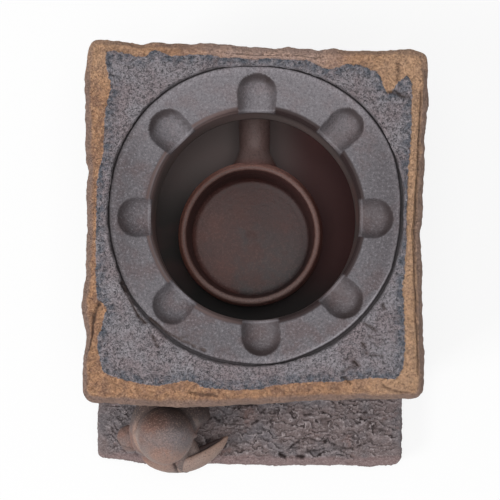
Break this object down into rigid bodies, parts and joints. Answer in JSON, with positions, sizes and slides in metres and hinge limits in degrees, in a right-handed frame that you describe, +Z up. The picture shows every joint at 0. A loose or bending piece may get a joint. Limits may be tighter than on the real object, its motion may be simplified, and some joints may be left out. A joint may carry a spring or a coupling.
{
  "type": "teapot warmer",
  "caption": "Block-shaped stoneware teapot warmer: slab top with a round well and thumb vents, fire chamber with a rear arch, loose candle cup, and a seated figure on the front ledge.",
  "frame": {"origin": "under the middle of the whole object, on the surface it stands on", "axes": "+Z up; +Y to the rear, where the cup's handle comes out; the ledge with the figure is at -Y; +X to the right seen from the front"},
  "size_m": [0.121, 0.16, 0.077],
  "materials": {
    "base_clay": "unglazed brown-grey stoneware, torn and ridged by hand",
    "wall_clay": "unglazed dark brown stoneware, rough outside and smooth inside",
    "top_clay": "grainy grey stoneware with a faint metallic flash and bare ochre edges",
    "cup_clay": "smooth burnished dark brown stoneware",
    "figure_clay": "smooth hand-modelled stoneware, pinkish brown with grey flashes"
  },
  "bodies": {
    "stove": {"base_slab": "base_clay", "front_wall": "wall_clay", "rear_wall": "wall_clay", "left_wall": "wall_clay", "right_wall": "wall_clay", "top_slab": "top_clay", "figure_robe": "figure_clay", "figure_head": "figure_clay", "figure_lap": "figure_clay", "figure_left_sleeve": "figure_clay", "figure_right_knee": "figure_clay"},
    "cup": {"candle_cup": "cup_clay", "cup_handle": "cup_clay"}
  },
  "joints": [
    {"name": "candle_cup_slide", "type": "slide", "parent": "stove", "child": "cup", "axis": [0, 1, 0], "range_m": [0, 0.092]}
  ]
}
